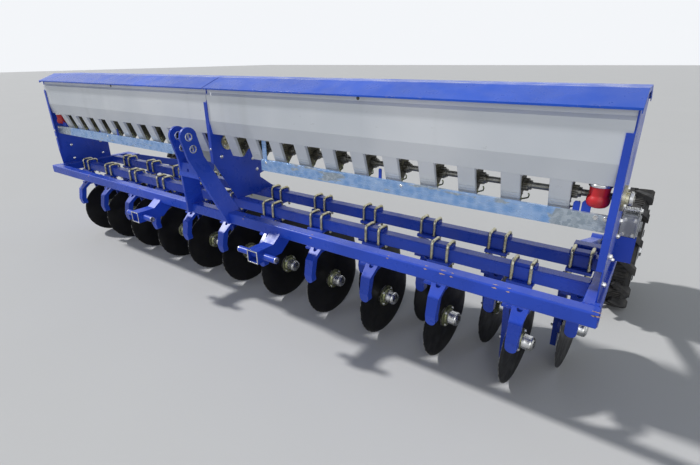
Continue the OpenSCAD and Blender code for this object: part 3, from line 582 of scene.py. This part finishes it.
# ---------------------------------------------------------------- metering units and trays
def meter_details(bm):
    """Cast ribs on a housing's open side and the screws of its cover."""
    for x in METERS:
        axes = Matrix.Translation(at(x + HOUSING_SIDE, 0, 0))
        for z, y0, y1 in ((786, 118, 141), (796, 112, 150), (806, 109, 130), (815, 106, 126), (824, 103, 125),
                          (833, 100, 126), (842, 97, 130), (851, 94, 138), (860, 91, 170)):
            block(bm, axes, (-0.5, y0, z - 1.4), (2, y1, z + 1.4))
        for y, z in ((104, 866), (172, 862), (172, 838), (128, 782)):
            hex_bolt(bm, turned(at(x + HOUSING_SIDE, y, z), (1, 0, 0)), 8, 1, washer=False)


def outlet_levers(bm):
    """Bent wire lever of each unit's bottom flap."""
    for x in METERS:
        rod(bm, [at(x + 20, 128, 784), at(x + 31, 126, 786), at(x + 44, 120, 792), at(x + 52, 112, 797),
                 at(x + 55, 108, 806), at(x + 53, 106, 812)], 2.4)
        pivot = turned(at(x + HOUSING_SIDE, 127, 785), (1, 0, 0))
        lathe(bm, pivot, [(0, 0), (7, 0), (7, 3), (5, 5), (0, 5)], 12)


def outlet_ribs(bm):
    """Ribs across the front of each outlet, and the bright edges of its sheet."""
    for x in METERS:
        for z in (793, 801, 809):
            y = CHUTE_Y + (BOX_FLOOR - z) * CHUTE_LEAN[0] / CHUTE_LEAN[1]
            rod(bm, [at(x - 27, y, z), at(x + 27, y, z)], 1.7, 6)
        for dx in (-28.4, 28.4):
            rod(bm, [at(x + dx, 78.4, 872), at(x + dx, 112, 776)], 1.0, 6)


def tray_bolts(bm):
    """Hexagon bolts at the trays' outer ends and low round heads along them."""
    for s in SIDES:
        for x in (1616, 1641):
            hex_bolt(bm, turned(at(s * x, TRAY_Y, TRAY_TOP - 9), (0, -1, 0)), 10)
        for x in (330, 1000):
            dome_bolt(bm, turned(at(s * x, TRAY_Y, TRAY_TOP - 12), (0, -1, 0)), 6)


def tray_tabs(bm):
    """Upright tabs behind the trays' upper edge."""
    for s in SIDES:
        for x, half, top in ((905, 6, 822), (1562, 9, 814), (1587, 12, 819)):
            outline = [(x - half, TRAY_TOP - 14), (x + half, TRAY_TOP - 14), (x + half, top - half * 0.6),
                       (x + half * 0.55, top), (x - half * 0.55, top), (x - half, top - half * 0.6)]
            faces = [[bm.verts.new(at(s * a, y, z)) for a, z in outline]
                     for y in (TRAY_Y + 12.2, TRAY_Y + 16)]
            for face in faces:
                bm.faces.new(face)
            for i in range(len(outline)):
                j = (i + 1) % len(outline)
                bm.faces.new((faces[0][i], faces[0][j], faces[1][j], faces[1][i]))


piece("meter_details", "machine", ["meter_cast", "bright_zinc"], meter_details)
piece("outlet_levers", "machine", ["green_zinc"], outlet_levers)
piece("outlet_ribs", "machine", ["white_paint"], outlet_ribs)
piece("tray_bolts", "machine", ["bright_zinc"], tray_bolts)
piece("tray_tabs", "machine", ["blue_paint"], tray_tabs)


def shaft_ends(bm):
    """A stop collar with a set screw at each end."""
    for s in SIDES:
        place = turned(at(s * 1683, SHAFT_Y, SHAFT_Z), (s, 0, 0))
        lathe(bm, place, [(10.2, 0), (17, 0), (18, 1), (18, 9), (17, 10), (10.2, 10)], 28)
        screw = turned(at(s * 1688, SHAFT_Y, SHAFT_Z + 17), (0, 0, 1))
        lathe(bm, screw, [(0, 0), (3.6, 0), (3.6, 4), (0, 4)], 6)


piece("shaft_ends", "metering_shaft", ["bright_zinc"], shaft_ends)


# ---------------------------------------------------------------- openers
def ubolt_fittings(xs, bar):
    """Washers under the U-bolts' nuts and the turned threads below them."""
    def build(bm):
        for x in xs:
            for dx in UBOLT_X:
                for y in UBOLT_Y:
                    place = turned(at(x + dx, bar + y, SADDLE_LOW), (0, 0, -1))
                    lathe(bm, place, [(6.2, -0.2), (13, -0.2), (13, 2.4), (6.2, 2.4)], 20)
                    thread = [(6.35 if i % 2 else 5.7, 10 + 0.9 * i) for i in range(13)]
                    lathe(bm, place, thread + [(4.8, 22.2), (0, 22.2)], 12)
    return build


def opener_welds(xs, bar):
    """Weld beads between leg, saddle and cross plate."""
    def build(bm):
        for x in xs:
            for dx in LEG_SIDES:
                weld(bm, at(x + dx, bar + 9, SADDLE_LOW - 0.5), at(x + dx, bar + 41, SADDLE_LOW - 0.5))
                weld(bm, at(x + dx, bar + 2, CROSS_PLATE_Z), at(x + dx, bar + TUBE, CROSS_PLATE_Z), 2.4)
    return build


def opener_bolts(xs, bar):
    """Bolts of the seed boots and of the cross plates."""
    def build(bm):
        for x in xs:
            for y, z in ((86, 388), (92, 340), (127, 150)):
                hex_bolt(bm, turned(at(x - 64, bar + y, z), (-1, 0, 0)), 13, thread=2)
            for y in (12, 38):
                hex_bolt(bm, turned(at(x + 8, bar + y, CROSS_PLATE_Z), (0, 0, 1)), 13)
    return build


for row, xs, bar in BARS:
    piece("ubolt_fittings_" + row, "machine", ["zinc"], ubolt_fittings(xs, bar))
    piece("opener_welds_" + row, "machine", ["blue_paint"], opener_welds(xs, bar), 60)
    piece("opener_bolts_" + row, "machine", ["bright_zinc"], opener_bolts(xs, bar))


# ---------------------------------------------------------------- drive box and wheels
def drive_fittings(bm):
    """Cover bolts, and the spring, rod and nuts between two tabs on top of the drive box."""
    for x in (1677, 1707):
        for z in (682, 630):
            hex_bolt(bm, turned(at(x, 420, z), (0, -1, 0)), 10)
    turns, count = 8, 12
    coil = [at(1673 + 38 * i / (turns * count), SPRING_Y + 9 * math.cos(2 * math.pi * i / count),
               SPRING_Z + 9 * math.sin(2 * math.pi * i / count)) for i in range(turns * count + 1)]
    rod(bm, coil, 1.9, 6)
    rod(bm, [at(1664, SPRING_Y, SPRING_Z), at(1722, SPRING_Y, SPRING_Z)], 4, 12)
    for x, way in ((1670, -1), (1714, 1)):
        place = turned(at(x, SPRING_Y, SPRING_Z), (way, 0, 0))
        lathe(bm, place, [(0, -1), (13, -1), (13, 1), (0, 1)], 20)
        hex_bolt(bm, place, 15, washer=False)
    for x in (1668.5, 1715.5):
        block(bm, Matrix.Translation(at(x, SPRING_Y, 0)), (-1.5, -8, 689), (1.5, 8, 716))


piece("drive_fittings", "machine", ["bright_zinc"], drive_fittings)


def wheel_axes(side):
    """Axes at the wheel's inner side on its axle, with Z pointing outwards."""
    return turned(at(side * (WHEEL_X - WHEEL_W / 2), WHEEL_Y, WHEEL_Z), (side, 0, 0))


def wheel_nuts(side):
    """Five wheel bolts, the axle's nut and the tyre's valve."""
    axes = wheel_axes(side)

    def build(bm):
        for i in range(5):
            turn = Matrix.Rotation(2 * math.pi * i / 5, 4, "Z")
            spot = Matrix.Translation(Vector((66, 0, HUB_FACE)) / 1000)
            hex_bolt(bm, axes @ turn @ spot, 19, thread=5)
        lathe(bm, axes, [(0, 145.6), (30, 145.6), (30, 148), (26, 148), (26, 155), (24, 156), (0, 156)], 6)
        valve = axes @ Matrix.Rotation(0.6, 4, "Z") @ Matrix.Translation(Vector((172, 0, HUB_FACE)) / 1000)
        lathe(bm, valve, [(0, 0), (5, 0), (4, 8), (3.4, 10), (3.4, 24), (4.4, 25), (4.4, 33), (3, 34.5),
                          (0, 34.5)], 12)
    return build


def rim_roll(side):
    """Rolled outer edges of the rim."""
    axes = wheel_axes(side)

    def build(bm):
        for h in (12, WHEEL_W - 12):
            profile = [(190 + 4.2 * math.cos(a), h + 4.2 * math.sin(a))
                       for a in (2 * math.pi * i / 8 for i in range(9))]
            lathe(bm, axes, profile, 72)
    return build


def tyre_ribs(side):
    """Fine ribs across the tread between the lugs, and rings round both sidewalls."""
    axes = wheel_axes(side)

    def build(bm):
        for i in range(TREAD_RIBS):
            turn = axes @ Matrix.Rotation(2 * math.pi * i / TREAD_RIBS, 4, "Z")
            block(bm, turn, (276, -2.2, 34), (283.5, 2.2, WHEEL_W - 34))
        for flip in (0, 1):
            for r, h, step in ((216, 13.4, 2), (226, 11.8, 3), (248, 13.6, 2), (256, 16, 2)):
                low = [(r - step, h + 1), (r - step + 0.8, h - 1.8), (r + step - 0.8, h - 1.8),
                       (r + step, h + 1)]
                lathe(bm, axes, [(a, WHEEL_W - b if flip else b) for a, b in low], 96)
    return build


for side, word in NAMED_SIDES:
    piece("wheel_nuts_" + word, "wheel_" + word, ["bright_zinc"], wheel_nuts(side))
    piece("rim_roll_" + word, "wheel_" + word, ["rim_paint"], rim_roll(side))
    piece("tyre_ribs_" + word, "wheel_" + word, ["tyre"], tyre_ribs(side))


# ---------------------------------------------------------------- stage, light and camera
def plain(name, colour):
    """A dull ground with a barely uneven tone."""
    k = Look(name, Roughness=0.9)
    k.colour(k.mix(k.span(k.noise(0.8, 3.0), 0.3, 0.7), times(colour, 0.985), colour))
    return k.mat


FLOOR_HALF = 60
floor_mesh = bpy.data.meshes.new("floor")
floor_mesh.from_pydata([(a * FLOOR_HALF, b * FLOOR_HALF, 0) for a, b in ((-1, -1), (1, -1), (1, 1), (-1, 1))],
                       [], [(0, 1, 2, 3)])
floor_mesh.materials.append(plain("floor_grey", (0.60, 0.595, 0.585)))
floor = bpy.data.objects.new("floor", floor_mesh)
bpy.context.scene.collection.objects.link(floor)

# The world lights the object dimly and bluish, and shows as a pale studio to camera and mirror rays
world = bpy.data.worlds.new("studio")
bpy.context.scene.world = world
world.use_nodes = True
sky = world.node_tree
ambient = sky.nodes["Background"]
ambient.inputs["Color"].default_value = (0.82, 0.90, 1.0, 1.0)
ambient.inputs["Strength"].default_value = 0.30
seen = sky.nodes.new("ShaderNodeBackground")
seen.inputs["Color"].default_value = (0.90, 0.92, 0.95, 1.0)
seen.inputs["Strength"].default_value = 1.0


def larger(a, b):
    """The larger of two of the world's sockets."""
    made = sky.nodes.new("ShaderNodeMath")
    made.operation = "MAXIMUM"
    sky.links.new(a, made.inputs[0])
    sky.links.new(b, made.inputs[1])
    return made.outputs[0]


rays = sky.nodes.new("ShaderNodeLightPath").outputs
chosen = sky.nodes.new("ShaderNodeMixShader")
sky.links.new(larger(larger(rays["Is Camera Ray"], rays["Is Glossy Ray"]), rays["Is Transmission Ray"]),
              chosen.inputs[0])
sky.links.new(ambient.outputs[0], chosen.inputs[1])
sky.links.new(seen.outputs[0], chosen.inputs[2])
sky.links.new(chosen.outputs[0], sky.nodes["World Output"].inputs["Surface"])

LAMPS_AIM = Vector((0, 0, 0.5))


def lamp(name, kind, place, power, **settings):
    """A light of a kind at a place, turned towards the object's middle."""
    data = bpy.data.lights.new(name, kind)
    data.energy = power
    for key, value in settings.items():
        setattr(data, key, value)
    made = bpy.data.objects.new(name, data)
    bpy.context.scene.collection.objects.link(made)
    made.location = place
    made.rotation_euler = (LAMPS_AIM - Vector(place)).to_track_quat("-Z", "Y").to_euler()


lamp("key", "SUN", (-6.9, -1.8, 7.2), 2.6, angle=math.radians(3.5))
lamp("fill", "AREA", (3.5, -5.5, 3.0), 60, shape="DISK", size=4.0)

# The camera as it was fitted to the photograph
CAMERA_AT = (1.721, -1.915, 1.201)
YAW, PITCH, ROLL = math.radians(35.41), math.radians(21.87), math.radians(-0.64)
FOCAL_PX, PHOTO_WIDTH, SENSOR = 437.35, 700, 36.0
ahead = Vector((-math.sin(YAW) * math.cos(PITCH), math.cos(YAW) * math.cos(PITCH), -math.sin(PITCH)))
level = ahead.cross(Vector((0, 0, 1))).normalized()
upright = level.cross(ahead)
right = math.cos(ROLL) * level + math.sin(ROLL) * upright
up = math.cos(ROLL) * upright - math.sin(ROLL) * level
camera_data = bpy.data.cameras.new("camera")
camera_data.sensor_width = SENSOR
camera_data.lens = FOCAL_PX / PHOTO_WIDTH * SENSOR
camera_data.clip_start, camera_data.clip_end = 0.05, 200
camera = bpy.data.objects.new("camera", camera_data)
bpy.context.scene.collection.objects.link(camera)
camera.matrix_world = Matrix.Translation(CAMERA_AT) @ Matrix((right, up, -ahead)).transposed().to_4x4()
bpy.context.scene.camera = camera
bpy.context.scene.view_settings.view_transform = "Standard"
